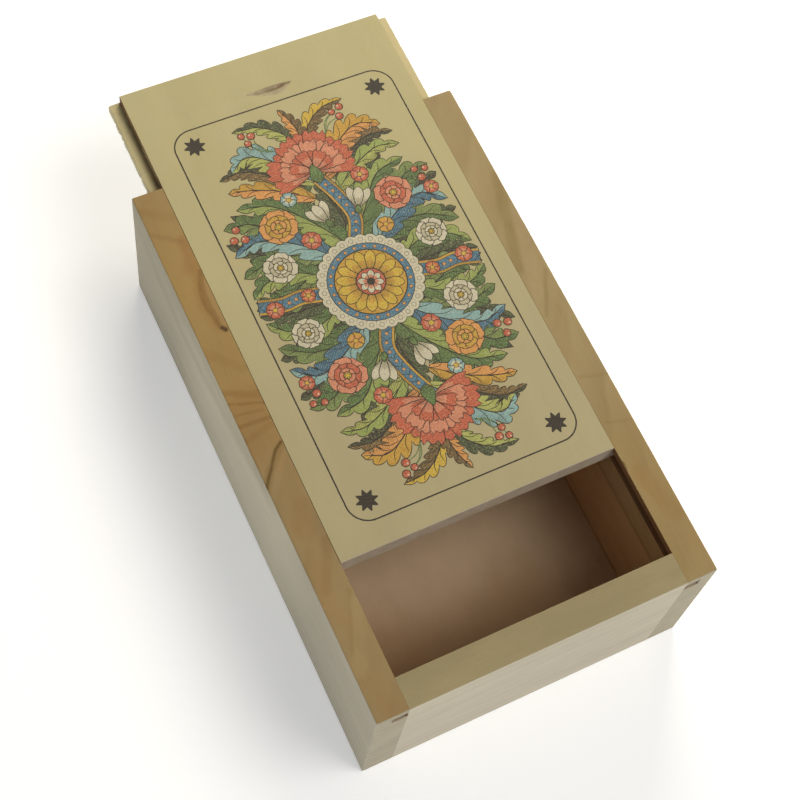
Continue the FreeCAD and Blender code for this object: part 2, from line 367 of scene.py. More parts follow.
square = 0.01   # mm: the radius of a corner left as the saw made it
groove = {"lip": 2.4, "gap": 3.1, "depth": 4.0}   # mm
rebate = {"thickness": 3.0, "bearing": 4.0, "radius": 6.0, "play": 0.1, "eased": 0.12}
lidLow, lidHigh = (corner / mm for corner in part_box("sliding_lid"))
leftLow, leftHigh = (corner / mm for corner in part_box("left_side_wall"))
frontLow, frontHigh = (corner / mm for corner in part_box("front_wall"))
backLow, backHigh = (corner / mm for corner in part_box("back_wall"))
boxFront, boxBack, boxTop = leftLow.y, leftHigh.y, leftHigh.z
innerSide, outerSide = -leftHigh.x, -leftLow.x


def rebateDepth(place, reach):
    # How far the rebate is cut into a wall, at a place from the middle of its side. Its ends are round.
    return rebate["bearing"] - endInset(place, -reach, reach, rebate["radius"])


sideWall = {   # mm
    "step": 1.2, "arris": 0.45, "corner": 0.35, "mouth": 0.08, "lip": 0.12, "grooveCorner": 0.1,
    "wear": 0.16, "mouthWear": 0.04, "lipWear": 0.05,   # how far the roundness of its edges wanders
    "thinnest": 0.03,                                   # the rebate where it has run out
    "chips": {-1: [], 1: [(-39.2, 1.1, 0.8)]},          # place, half width and depth, left and right
}
endWall = {"step": 1.2, "arris": 0.4, "wear": 0.12}


def makeSideBoard(name, node, side, materials):
    # One long wall: section in X and Z, swept along Y. Side is -1 left and 1 right.
    edge = sideWall
    rebateMiddle = (frontHigh.y + backLow.y) / 2
    rebateReach = (backLow.y - frontHigh.y) / 2 + rebate["bearing"]
    roof, floor = boxTop - groove["lip"], boxTop - groove["lip"] - groove["gap"]
    deep, seed = innerSide + groove["depth"], 5 + side

    def sectionAt(station):
        inset = endInset(station, boxFront, boxBack, edge["arris"])
        corner = endInset(station, boxFront, boxBack, edge["corner"])
        wear = (wobble(station, 6, own) + 0.6 * wobble(station, 1.7, own) for own in (seed, seed + 1))
        lower, upper = (edge["arris"] + edge["wear"] * far for far in wear)
        chip = sum(depth * math.exp(-((station - place) / width) ** 2)
                   for place, width, depth in edge["chips"][side])
        mouth = edge["mouth"] + chip + edge["mouthWear"] * wobble(station, 2.3, seed + 9)
        roofLip, floorLip = (edge["lip"] + edge["lipWear"] * wobble(station, 2.0, seed + number)
                             for number in (12, 15))
        cut = innerSide + max(edge["thinnest"], rebateDepth(station - rebateMiddle, rebateReach))
        return [
            ((outerSide - corner, inset), lower), ((outerSide - corner, boxTop - inset), upper),
            ((innerSide, boxTop - inset), mouth), ((innerSide, roof), roofLip),
            ((deep, roof), edge["grooveCorner"]), ((deep, floor), edge["grooveCorner"]),
            ((innerSide, floor), floorLip), ((innerSide, rebate["thickness"]), square),
            ((cut, rebate["thickness"]), square), ((cut, inset), square),
        ]

    roundEnds = [rebateMiddle + turn * (rebateReach - rebate["radius"] * (1 - math.sin(math.radians(angle))))
                 for turn in (-1, 1) for angle in (15, 30, 40, 50, 58, 64, 68, 70.4)]
    stations = sorted(stationsBetween(boxFront, boxBack, edge["step"], edge["arris"]) + roundEnds)
    mesh = sweepBoard(name, sectionAt, stations, lambda point, station: (side * point.x, station, point.y))
    piece = addPiece(name, mesh, materials, "box", node)
    smoothBoard(piece)
    paintFaces(piece, chooseSide)


def makeEndBoard(name, node, outer, inner, top, materials):
    # The front or back wall: section in Y and Z, swept along X between the side walls.
    edge = endWall
    away = 1 if outer > inner else -1
    reach, seed = innerSide + rebate["bearing"], 20 + away
    outer, inner = abs(outer), abs(inner)

    def sectionAt(station):
        worn = [edge["arris"] + edge["wear"] * wobble(station, 6, seed + index) for index in range(3)]
        cut = inner + rebateDepth(station, reach)
        return [
            ((outer, 0), worn[0]), ((outer, top), worn[1]), ((inner, top), 0.6 * worn[2]),
            ((inner, rebate["thickness"]), square), ((cut, rebate["thickness"]), square), ((cut, 0), square),
        ]

    stations = stationsBetween(-innerSide, innerSide, edge["step"], 0.1)
    mesh = sweepBoard(name, sectionAt, stations, lambda point, station: (station, away * point.x, point.y))
    piece = addPiece(name, mesh, materials, "box", node)
    smoothBoard(piece)
    paintFaces(piece, chooseEnd)


def paintFaces(piece, choose):
    # Gives each face the material whose name ends in what its middle, in mm, and its direction choose.
    names = [material.name for material in piece.data.materials]
    for polygon in piece.data.polygons:
        part = choose(polygon.center / mm, polygon.normal)
        polygon.material_index = next(place for place, name in enumerate(names) if name.endswith(part))


# Poplar with every cut showing: the sawn edge is darker and warmer than the pale planed faces, whose paleness
# is partly painted light.
def sideWoods(name, look):
    cuts = {"SawnEdge": {}, "PlanedFace": outsideLook, "RawInside": insideLook, "SawnEnd": endGrainLook,
            "RoutedGroove": grooveShadeLook}
    return [solidWood(name + cut, look, **changes) for cut, changes in cuts.items()]


def chooseSide(middle, normal):
    if abs(normal.y) > 0.7:
        return "SawnEnd"
    if normal.z > 0.6 and middle.z > boxTop - 1:
        return "SawnEdge"
    # the groove and the lip's inner face take the painted shade
    grooveFoot = boxTop - groove["lip"] - groove["gap"] - 0.2
    if grooveFoot < middle.z < boxTop - 0.2 and abs(middle.x) < outerSide - 1:
        return "RoutedGroove"
    return "PlanedFace" if abs(middle.x) > outerSide - 1.2 or middle.z < 0.6 else "RawInside"


def chooseEnd(middle, normal):
    if normal.z > 0.6 and middle.z > boxTop / 4:
        return "SawnEdge"
    return "PlanedFace" if abs(middle.y) > boxBack - 0.6 or middle.z < 0.6 else "RawInside"


makeSideBoard("leftWallBoard", "left_side_wall", -1, sideWoods("poplarLeft", leftLook))
makeSideBoard("rightWallBoard", "right_side_wall", 1, sideWoods("poplarRight", rightLook))
endWoods = [   # poplar again: an olive sawn edge over a pale planed face with fine level lines, its paleness partly painted light
    solidWood("poplarEndSawnEdge", endLook),
    solidWood("poplarEndPlanedFace", endLook, early="#B6AD97", late="#A69C84", fibre=0.05,
              cloud=("#B4AB95", 0.1)),
    solidWood("poplarEndRawInside", endLook, early="#BB9672", late="#AE8A64")]
makeEndBoard("frontWallBoard", "front_wall", frontLow.y, frontHigh.y, frontHigh.z, endWoods)
makeEndBoard("backWallBoard", "back_wall", backHigh.y, backLow.y, backHigh.z, endWoods)
print("boards: walls")


def makeBottom():
    # A thin board with round corners and an eased lower edge, let into the walls from below.
    low, high = (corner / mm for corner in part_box("bottom_panel"))
    radius, eased = rebate["radius"] - rebate["play"], rebate["eased"]
    rings = []
    for height, inset in ((low.z, eased), (low.z + eased, 0.0), (high.z, 0.0)):
        ring = []
        for x, y, start in ((1, 1, 0), (-1, 1, 90), (-1, -1, 180), (1, -1, 270)):
            centre = Vector((x * (high.x - radius), y * (high.y - radius), height))
            for angle in range(start, start + 91, 9):
                turn = cmath.rect(radius - inset, math.radians(angle))
                ring.append((centre + Vector((turn.real, turn.imag, 0))) * mm)
        rings.append(ring)
    # fibreboard: pressed fibres leave it even and faintly mottled, with hardly a ring, under painted shadow
    # and painted light
    board = solidWood("fibreboardPressed", plainLook, seed=13.0, early="#C0A78A", late="#BAA182",
                      ringStrength=0.2, figure=0.035, fibre=0.03, pore=0.06, roughness=0.8,
                      cloud=("#B89A7C", 0.12),
                      # the zones are a painted shadow by the front wall and painted light under the lid's
                      # front edge
                      zones=[(-66.0, 36.0, 0.6, "#A5855E"), (-24.0, 26.0, 0.3, "#C9B69C")],
                      # the mark is painted light along the foot of the right wall
                      marks=[(3.0, 22.0, 0.32, "#DCC2A2", (-70, 33), (60, 33))],
                      spots={"figure": (5, 1.2, 1, 2), "fibre": (0.5, 2, 1, 2), "pores": (0.3, 1.5, 1, 0)})
    mesh = loftRings("bottomBoard", rings)
    addPiece("bottomBoard", mesh, [board], "box", "bottom_panel")


lid = {
    "step": 0.4, "tongue": 2.8, "fieldGap": 0.04, "arris": 0.2,   # mm
    "topEdge": 0.05, "topWear": 0.03, "foot": 0.12, "lowEdge": 0.3, "lowWear": 0.5, "tongueEdge": 0.35,
    "notchWidth": 12.9, "notchDepth": 1.2, "notchRamp": 2.3, "notchLean": 0.45, "notchSetback": 10.7,
    "notchSkew": 0.45, "notchRough": 0.05,
    "ragged": (0.16, 0.45),      # how deep the torn edges of the right and left tongues bite
    # painted shadow of the step on the tongue, widening towards the box, over scorch where the saw ran slow:
    # back end, spread, share, colour
    "scorchAndStepShadow": [(104, 0.2, 0.6, "#4E3418"), (92, 1.0, 0.5, "#5C3F1E"), (80, 1.6, 0.25, "#6E4F28")],
}
tornLook = {
    "pore": 0.35, "figure": 0.12, "bump": 0.6, "spots": {"figure": (1.6, 3, 1, 2)}, "zones": [], "marks": [
        (0.1, 1.0, 0.6, "#8A6448", (88.4, 5.8), (87.2, 3.0)),
        (0.1, 0.8, 0.35, "#9A8268", (87.4, 1.6), (87.6, -1.0)),
    ],
}
lidCuts = {   # lime: sanded on top, sawn pale at the ends, torn and greyer in the notch with painted shade on its ramp and painted light on its back, and at the step scorched and painted with shade and the step's shadow
    "SandedTop": {},
    "SawnEnd": {"early": "#D8D0C2", "late": "#CBC0B2", "pore": 0.15, "zones": []},
    # the ramp faces the light and is painted darker, painted shade; the steep back faces away and is painted
    # paler, painted light
    "TornRamp": {"early": "#A4997C", "late": "#8E8268", **tornLook},
    # the tongue's marks are the step's painted shadow on it, with some scorch
    "SawnTongue": {"early": "#BFB48A", "late": "#B3A87F", "zones": [], "marks": [
        (0.1, 0.4 + 0.8 * spread, share, colour,
         (back, (34.9 + 0.1 * spread) * turn), (66, (34.9 + 0.5 * spread) * turn))
        for turn in (-1, 1) for back, spread, share, colour in lid["scorchAndStepShadow"]]},
    "TornBack": {"early": "#D8CCAF", "late": "#C2B296", **tornLook},
    # the step's face is painted dark: painted shade where no light reaches it, with some scorch
    "BurntStep": {"early": "#5C3A1E", "late": "#4A2F18", "zones": []},
}


def raggedness(station, seed, depth):
    # Torn saw marks along a tongue: shallow waves with a few deeper bites.
    waves = 0.5 + 0.5 * wobble(station, 2.6, seed)
    bites = max(0.0, wobble(station, 0.9, seed + 1)) ** 2 * 1.6
    return depth * min(1.0, 0.45 * waves + bites)


def makeLidBoard():
    # Section in X and Z, swept along Y: a raised field with a thin ragged tongue on each side. The front
    # end stops a hair short of the solid's, so that the closed lid doesn't cut into the front wall.
    side, field = lidHigh.x, innerSide - lid["fieldGap"]
    front, back = lidLow.y + lid["fieldGap"], lidHigh.y
    low, top, tongueTop = lidLow.z, lidHigh.z, lidLow.z + lid["tongue"]

    def sectionAt(station):
        inset = endInset(station, front, back, lid["arris"])
        right, left = (raggedness(station, seed, depth) for seed, depth in zip((31, 47), lid["ragged"]))
        thin = 0.12 + 0.1 * wobble(station, 1.1, 60)
        lowRight, lowLeft = (lid["lowEdge"] + lid["lowWear"] * bite for bite in (right, left))
        topRight, topLeft = (lid["topEdge"] + lid["topWear"] * wobble(station, 5, seed) for seed in (61, 62))
        return [
            ((-side + left, low), lowLeft), ((side - right, low), lowRight),
            ((side - right, tongueTop - thin), lid["tongueEdge"]), ((field, tongueTop), lid["foot"]),
            ((field, top - inset), topRight), ((-field, top - inset), topLeft),
            ((-field, tongueTop), lid["foot"]), ((-side + left, tongueTop - thin), lid["tongueEdge"]),
        ]

    stations = stationsBetween(front, back, lid["step"], lid["arris"])
    mesh = sweepBoard("lidBoard", sectionAt, stations, lambda point, station: (point.x, station, point.y))
    woods = [solidWood("limeLid" + cut, lidLook, **changes) for cut, changes in lidCuts.items()]
    piece = addPiece("lidBoard", mesh, woods, "lid", "sliding_lid")
    cutNotch(piece)
    paintFaces(piece, chooseLid)
    smoothBoard(piece)


def chooseLid(middle, normal):
    fromNotch = abs(lidHigh.y - lid["notchSetback"] - middle.y)
    if abs(middle.x) < lid["notchWidth"] / 2 and 0.05 < lidHigh.z - middle.z < 2 and fromNotch < 4:
        # the notch's ramp takes the painted shade and its steep back the painted light
        return "TornRamp" if normal.y > 0 else "TornBack"
    # the step's faces take the painted shade
    if abs(normal.x) > 0.7 and abs(middle.x) < innerSide + 0.05:
        return "BurntStep"
    if abs(normal.y) > 0.6:
        return "SawnEnd"
    onTongue = abs(middle.x) > innerSide - 0.3 and lidLow.z + 1 < middle.z < lidHigh.z - 1
    return "SawnTongue" if onTongue else "SandedTop"


def cutNotch(piece):
    # The thumb notch: a V turned about an axis above the lid, cut out of the top, fuller to the right.
    depth, halfWidth, lean = lid["notchDepth"], lid["notchWidth"] / 2, lid["notchLean"]
    radius = (halfWidth ** 2 + depth ** 2) / (2 * depth)
    axisHeight = lidHigh.z - depth + radius
    foot = lidHigh.y - lid["notchSetback"] - lean
    rings = []
    for step in range(49):
        angle = math.radians(2 * step - 48)
        rough = lid["notchRough"] * wobble(step, 2.2, 71)
        ramp = lid["notchRamp"] * 2 * (1 + lid["notchSkew"] * math.sin(angle) * radius / halfWidth)
        above = radius - 2 * depth
        profile = [(foot, radius + rough), (foot + lean * 2, above + rough), (foot - ramp, above + rough)]
        rings.append([(math.sin(angle) * reach * mm, place * mm, (axisHeight - math.cos(angle) * reach) * mm)
                      for place, reach in profile])
    cutter = addObject("notchCutter", loftRings("notchCutter", rings))
    cut = piece.modifiers.new("notch", "BOOLEAN")
    cut.operation, cut.solver, cut.object = "DIFFERENCE", "EXACT", cutter
    evaluated = piece.evaluated_get(bpy.context.evaluated_depsgraph_get())
    carved = bpy.data.meshes.new_from_object(evaluated)
    piece.modifiers.remove(cut)
    piece.data = carved
    bpy.data.objects.remove(cutter)


makeBottom()
makeLidBoard()
print("boards: bottom and lid")


card = {
    "middle": (0.9, 27.5), "width": 58.8, "height": 110.8, "corner": 5.3, "line": 0.36,   # mm
    "lift": 0.02, "step": 0.0005,        # how high the first ink lies, and each one over another
    "markPlaces": (24.4 + 50.5j, -24.4 + 50.5j), "markSize": 2.7,
    "bare": 0.45, "bareBlack": 0.06,     # how much wood shows through the specks of an ink
    "inks": {
        "black": "#271F15", "shade": "#343726", "pine": "#424D32", "umber": "#6F5732",
        "red": "#B95A42", "rose": "#CC8468", "orange": "#CF9150", "gold": "#BE9338", "yellow": "#C6A63C",
        "green": "#54703E", "moss": "#6E8048", "leaf": "#8C9A52", "lime": "#A3A85C",
        "blue": "#43718A", "sky": "#83A7A6", "white": "#C9C3AB", "paper": "#B5AE92",
    },
}
hair, fine, bold = 0.1, 0.19, 0.3   # pen widths in mm
hatching = {"width": 0.12, "clear": 0.13, "shortest": 0.3,                # mm
            "reachFrom": 0.7, "reachTo": 1.15, "gapFrom": 0.85, "gapTo": 1.15}   # how uneven the lines are
acanthus = {"cut": 0.45, "lean": 0.5, "fullness": 0.75, "steps": 7, "veinFoot": 0.16, "veinReach": 0.86,
            "veinBend": 0.12, "hatchTurn": 62, "hatchGap": 0.42}
chance = random.Random(12)
printed = {"stamps": [], "faces": {}}   # what lies where, and each ink's faces with their level


# The print is drawn with complex numbers as points, in mm from the middle of the card.
def arcOf(centre, radius, start, end, count):
    return [centre + cmath.rect(radius, math.radians(start + (end - start) * step / (count - 1)))
            for step in range(count)]


def roundOf(centre, radius, count=6):
    return arcOf(centre, radius, 0, 360 - 360 / count, count)


def curveThrough(points, steps=6):
    path = []
    whole = [points[0] * 2 - points[1]] + points + [points[-1] * 2 - points[-2]]
    for a, b, c, d in zip(whole, whole[1:], whole[2:], whole[3:]):
        for step in range(steps):
            t = step / steps
            path.append(0.5 * (2 * b + (c - a) * t + (2 * a - 5 * b + 4 * c - d) * t * t
                               + (3 * b - a - 3 * c + d) * t ** 3))
    return path + [points[-1]]


def normalsOf(path, closed=False):
    ends = [path[-1]] + path + [path[0]] if closed else [path[0]] + path + [path[-1]]
    ways = [after - before for before, after in zip(ends, ends[2:])]
    return [1j * way / (abs(way) or 1.0) for way in ways]


def penLine(path, width, thin=0.3, closed=False):
    # A pen line as quads: full width in the middle, thinner towards both ends.
    last = len(path) - 1
    sides = []
    for index, (point, normal) in enumerate(zip(path, normalsOf(path, closed))):
        half = width / 2 * (thin + (1 - thin) * math.sin(math.pi * index / last) ** 0.6)
        sides.append((point + normal * half, point - normal * half))
    following = sides[1:] + sides[:1] if closed else sides[1:]
    return [[a[0], a[1], b[1], b[0]] for a, b in zip(sides, following)]


def penLoop(outline, width):
    return penLine(outline, width, 1.0, closed=True)


def hatch(outline, angle, gap, share):
    # Parallel pen lines inside an outline, each over a share of its chord from the one side. They stay
    # clear of the outline's own pen line, because two faces in one place come out black.
    clear = hatching["clear"]
    half = complex(0, hatching["width"] / 2)
    turn = cmath.rect(1, math.radians(-angle))
    turned = [point * turn for point in outline]
    low, high = min(p.imag for p in turned), max(p.imag for p in turned)
    quads = []
    level = low + gap * 0.5
    while level < high:
        cuts = []
        for a, b in zip(turned, turned[1:] + turned[:1]):
            if (a.imag <= level) != (b.imag <= level):
                cuts.append(a.real + (level - a.imag) / (b.imag - a.imag) * (b.real - a.real))
        cuts.sort()
        for start, end in zip(cuts[::2], cuts[1::2]):
            reach = (end - start) * share * chance.uniform(hatching["reachFrom"], hatching["reachTo"])
            reach = min(reach, end - start - clear)
            if reach > hatching["shortest"]:
                a, b = complex(start + clear, level), complex(start + reach, level)
                quads.append([(a + half) / turn, (a - half) / turn,
                              (b - half * 0.2) / turn, (b + half * 0.2) / turn])
        level += gap * chance.uniform(hatching["gapFrom"], hatching["gapTo"])
    return quads


def inked(outline, angle, gap, share):
    # The black of a motif's part: the pen line round it and the hatching in it.
    return penLoop(outline, fine) + hatch(outline, angle, gap, share)


def stamp(*layers, twin=True):
    # Prints a motif's layers of (ink, faces) over all that it overlaps, and again turned half round.
    for turn in ((1, -1) if twin else (1,)):
        places = [point * turn for ink, faces in layers for face in faces for point in face]
        left, right = min(place.real for place in places), max(place.real for place in places)
        low, high = min(place.imag for place in places), max(place.imag for place in places)
        base = max((top for x, otherX, y, otherY, top in printed["stamps"]
                    if left < otherX and x < right and low < otherY and y < high), default=0)
        for step, (ink, faces) in enumerate(layers):
            printed["faces"].setdefault(ink, []).extend(
                ([point * turn for point in face], base + step) for face in faces)
        printed["stamps"].append((left, right, low, high, base + len(layers)))


def leafSide(path, width, lobes, turn):
    # The lobed margin of a leaf on one side of its spine; turn is 1 or -1.
    normals, last, steps = normalsOf(path), len(path) - 1, lobes * acanthus["steps"]
    points = []
    for step in range(steps + 1):
        t = step / steps
        low = min(int(t * last), last - 1)
        part = t * last - low
        point = path[low] * (1 - part) + path[low + 1] * part
        normal = normals[low] * (1 - part) + normals[low + 1] * part
        swell = math.sin(math.pi * min(1.0, (t * 0.93 + 0.07) ** acanthus["fullness"])) if t < 1 else 0
        half = width * swell ** 0.8
        lobe = abs(math.sin(math.pi * lobes * t)) ** 0.7
        points.append(point + turn * normal * half * (1 - acanthus["cut"] + acanthus["cut"] * lobe)
                      + normal / 1j * half * acanthus["lean"] * lobe)
    return points


def frond(spine, width, lobes, inks, shade):
    # An acanthus leaf on a curved spine: lobed margins, a light half, veins and hatching.
    path = curveThrough(spine, 10)
    last = len(path) - 1
    left, right = leafSide(path, width, lobes, 1), leafSide(path, width, lobes, -1)
    outline = left + right[::-1]
    veins = []
    for index in range(lobes):
        root = path[max(0, int(((index + 0.5) / lobes - acanthus["veinFoot"]) * last))]
        for edge, turn in ((left, -1), (right, 1)):
            tip = edge[int((index + 0.5) * acanthus["steps"])]
            bend = (root + tip) / 2 + (tip - root) * 1j * acanthus["veinBend"] * turn
            curve = curveThrough([root, bend, root + (tip - root) * acanthus["veinReach"]], 4)
            veins += penLine(curve, fine)
    angle = math.degrees(cmath.phase(path[-1] - path[0])) + acanthus["hatchTurn"]
    stamp((inks[0], [outline]), (inks[1], [left + path[::-1]]),
          ("black", hatch(outline, angle, acanthus["hatchGap"], shade)),
          ("black", veins + penLoop(outline, fine)), ("black", penLine(path[:last], bold, 0.4)))


def fronds(inks, shade, *rows):
    # Leaves in one pair of inks. Each row is a width, how many lobes, and the points of the spine.
    for width, lobes, *spine in rows:
        frond(spine, width, lobes, inks, shade)


def petal(base, direction, length, width, tip="round"):
    # The outline of one petal from its base; direction is in degrees.
    turn = cmath.rect(1, math.radians(direction))
    count, widest = 11, 0.62
    points = []
    for step in range(count + 1):
        t = step / count
        if t < widest:
            half = width / 2 * math.sin(math.pi * (0.5 * t ** 0.8))
        else:
            half = (width / 2 * math.cos(math.pi / 2 * (t - widest) / (1 - widest)) ** 0.55
                    * math.sin(math.pi * 0.5 * widest ** 0.8))
        points.append(complex(t * length, half))
    if tip == "notched":
        points[-1] = complex(length * 0.9, 0)
    if tip == "fringed":
        fringe = [complex(length * (0.86 + 0.1 * (tooth % 2) + 0.04 * math.sin(tooth)),
                          width / 2 * (1 - tooth / 3.5)) for tooth in range(4)]
        points = points[:7] + fringe + [complex(length * 0.98, 0)]
    outline = points + [p.conjugate() for p in points[-2:0:-1]]
    return [base + p * turn for p in outline]


def ringOfPetals(centre, radius, count, inks, start=0.0, spread=360.0, fill=1.15, tip="round", inner=0.0,
                 shade=0.5, twin=True):
    # Petals about a centre, all round or over a spread in degrees. Fill is how far each meets the next.
    petals = []
    gap = spread / (count if spread == 360 else count - 1)
    for index in range(count):
        direction = start + gap * index
        width = 2 * radius * math.sin(math.radians(min(gap, 80) / 2)) * fill
        petals.append(petal(centre + cmath.rect(inner, math.radians(direction)), direction,
                            (radius - inner) * chance.uniform(0.94, 1.04), width, tip))
    # every other petal lies below its neighbours
    even = count - 1 if spread == 360 and count % 2 else count
    for batch in (petals[:even:2], petals[1:even:2], petals[even:]):
        tones, lines = [], []
        for outline in batch:
            base, way = outline[0], outline[len(outline) // 2] - outline[0]
            tones.append([base + (point - base) * 0.62 for point in outline])
            lines += inked(outline, math.degrees(cmath.phase(way)), 0.34, shade)
        if batch:
            stamp((inks[0], batch), (inks[1], tones), ("black", lines), twin=twin)


def disc(centre, radius, ink, edge=fine, twin=True, count=28):
    outline = roundOf(centre, radius, count)
    stamp((ink, [outline]), ("black", penLoop(outline, edge)), twin=twin)


def rose(centre, radius, inks, petals, start):
    # Three rings of petals, each smaller and turned a little, about a yellow eye with six dots.
    ringOfPetals(centre, radius, petals, inks, start, tip="notched")
    ringOfPetals(centre, radius * 0.66, petals - 1, inks[::-1], start + 20, tip="notched")
    ringOfPetals(centre, radius * 0.38, 5, inks, start + 50)
    dots = [roundOf(place, 0.16) for place in roundOf(centre, radius * 0.1)]
    outline = arcOf(centre, radius * 0.17, 0, 345, 16)
    stamp(("yellow", [outline]), ("black", penLoop(outline, fine) + dots))


def cup(base, direction, rise, length, width, gap):
    # The green cup that a flower sits in, its point turned down.
    outline = petal(base + cmath.rect(rise, math.radians(direction)), direction + 180, length, width)
    stamp(("green", [outline]), ("black", inked(outline, direction, gap, 0.6)))


def carnation(centre, direction, size, inks):
    # A fan of fringed petals in three tiers over its cup.
    tiers = ((1.0, 9, 190, inks), (0.78, 8, 160, inks[::-1]), (0.52, 6, 130, inks))
    for reach, count, spread, pair in tiers:
        ringOfPetals(centre, size * reach, count, pair, direction - spread / 2, spread, 1.25, "fringed")
    cup(centre, direction, size * 0.16, size * 0.5, size * 0.34, 0.32)


def tulip(base, direction, size, inks):
    # Two outer petals that lean away, then a middle one, on a short cup.
    for lean, length, wide, share in ((-24, 1.0, 0.42, 0.6), (24, 1.0, 0.42, 0.6), (0, 0.96, 0.46, 0.5)):
        outline = petal(base, direction + lean, size * length, size * wide)
        stamp((inks[0], [outline]), (inks[1], [[base + (point - base) * share for point in outline]]),
              ("black", inked(outline, direction + lean, 0.3, 0.5)))
    cup(base, direction, size * 0.2, size * 0.42, size * 0.3, 0.3)


def smallFlower(centre, radius, inks, start):
    ringOfPetals(centre, radius, 5, inks, start, fill=1.05, tip="notched", shade=0.4)
    disc(centre, radius * 0.26, "yellow", hair, count=12)


def ribbon(spine, width, marks):
    # A woven band: blue ground, gold borders, chevrons along it and an orange bead in each.
    path = curveThrough(spine, 8)
    normals = normalsOf(path)

    def offset(share):
        return [point + normal * width / 2 * share for point, normal in zip(path, normals)]

    ground = offset(1) + offset(-1)[::-1]
    borders = [offset(0.95) + offset(0.68)[::-1], offset(-0.68) + offset(-0.95)[::-1]]
    beads, rims, chevrons = [], [], []
    for index in range(marks):
        place = int((index + 0.5) / marks * (len(path) - 1))
        side, way = normals[place] * width * 0.3, normals[place] / 1j * width * 0.26
        chevrons += penLine([path[place] + side, path[place] + way, path[place] - side], 0.2, 0.7)
        beads.append(roundOf(path[place] - way * 0.9, width * 0.11, 10))
        rims += penLoop(beads[-1], 0.08)
    edges = penLoop(ground, fine) + penLine(offset(0.66), hair, 0.8) + penLine(offset(-0.66), hair, 0.8)
    shade = hatch(ground, math.degrees(cmath.phase(normals[len(normals) // 2])), 0.4, 0.4)
    stamp(("blue", [ground]), ("gold", borders), ("black", shade), ("black", chevrons + edges),
          ("orange", beads), ("black", rims))


def berries(stemFrom, *points):
    # Red berries with a shine on each, on stems from one place.
    lines, fruit, shine, stems = [], [], [], []
    for point in points:
        size = 0.95 * chance.uniform(0.85, 1.1)
        outline = arcOf(point, size, 0, 342, 18)
        fruit.append(outline)
        shine.append(roundOf(point + size * complex(-0.3, 0.35), size * 0.25))
        lines += inked(outline, 140, 0.3, 0.35)
        bend = (point + stemFrom) / 2 + (point - stemFrom) * 0.15j
        stems += penLine(curveThrough([stemFrom, bend, point]), 0.22, 0.5)
    stamp(("green", stems))
    stamp(("red", fruit), ("black", lines), ("white", shine))


def lace(inner, outer, scallops):
    # A white scalloped frill round the middle, with a loop, two eyelets and a fold in each scallop.
    deep, gap = outer - inner, math.radians(360 / scallops)
    outline = []
    for index in range(scallops):
        for step in range(6):
            dip = deep * 0.16 * (1 - abs(math.sin(math.pi * step / 6)) ** 0.7)
            outline.append(cmath.rect(outer - dip, math.radians(360 * ((index + step / 6) / scallops))))
    lines = penLoop(outline, fine)
    for index in range(scallops):
        middle, fold = (math.radians(360 * (index + part) / scallops) for part in (0.5, 0))
        lines += penLoop(arcOf(cmath.rect(inner + deep * 0.62, middle), deep * 0.15, 0, 324, 9), hair)
        lines += [roundOf(cmath.rect(inner + deep * 0.3, middle + gap * part), 0.12)
                  for part in (-0.25, 0.25)]
        lines += penLine([cmath.rect(inner + deep * share, fold) for share in (0.0, 0.3, 0.62)], 0.12, 0.2)
    stamp(("white", [outline]), ("black", lines), twin=False)


